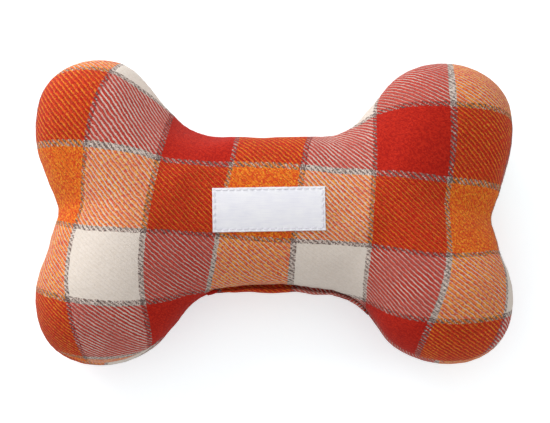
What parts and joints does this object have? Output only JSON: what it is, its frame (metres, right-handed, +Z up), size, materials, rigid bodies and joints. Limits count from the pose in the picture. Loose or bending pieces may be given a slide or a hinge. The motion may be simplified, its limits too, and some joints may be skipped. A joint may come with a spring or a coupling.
{
  "type": "squeaky dog toy",
  "caption": "Stuffed bone-shaped plush toy of two plaid wool panels sewn round one outline, with a woven label and a squeaker inside.",
  "frame": {"origin": "middle of the surface that the toy lies on, under the middle of the bone", "axes": "+X along the bone towards its right end as the label is read, +Y towards the far lobes, +Z up out of the front panel"},
  "size_m": [0.241, 0.1568, 0.0615],
  "materials": {
    "plaid_wool": "matte",
    "seam_thread": "matte",
    "label_satin": "satin",
    "label_thread": "satin",
    "fibre_fill": "matte",
    "bladder_plastic": "satin",
    "reed_plastic": "gloss",
    "reed_film": "gloss"
  },
  "bodies": {
    "rear_half": {"rear_panel": "plaid_wool", "seam_needle_thread": "seam_thread", "seam_bobbin_thread": "seam_thread", "closing_thread": "seam_thread", "fill_near_left_lobe": "fibre_fill", "fill_near_right_lobe": "fibre_fill", "fill_far_left_lobe": "fibre_fill", "fill_far_right_lobe": "fibre_fill", "fill_below_squeaker": "fibre_fill", "squeaker_bladder": "bladder_plastic"},
    "front_half": {"front_panel": "plaid_wool", "label": "label_satin", "label_thread": "label_thread", "fill_above_squeaker": "fibre_fill"},
    "reed_holder": {"reed_tube": "reed_plastic", "reed_bed": "reed_plastic", "reed_wedge": "reed_plastic"},
    "reed_tongue": {"reed": "reed_film"}
  },
  "joints": [
    {"name": "squeeze", "type": "slide", "parent": "rear_half", "child": "front_half", "axis": [0, 0, -1], "range_m": [0, 0.012], "stiffness_N_per_m": 700, "springref_m": -0.002, "deforming": ["front_panel", "fill_above_squeaker", "fill_below_squeaker", "fill_near_left_lobe", "fill_near_right_lobe", "fill_far_left_lobe", "fill_far_right_lobe", "squeaker_bladder"]},
    {"name": "squeaker_press", "type": "slide", "parent": "rear_half", "child": "reed_holder", "axis": [0, 0, -1], "range_m": [0, 0.006]},
    {"name": "reed_beat", "type": "hinge", "parent": "reed_holder", "child": "reed_tongue", "pos_m": [0, 0, 0.0428], "axis": [1, 0, 0], "range_deg": [-2, 6], "stiffness_Nm_per_rad": 0.000002}
  ],
  "couplings": [
    {"joint": "squeaker_press", "follows": "squeeze", "ratio": 0.5}
  ]
}
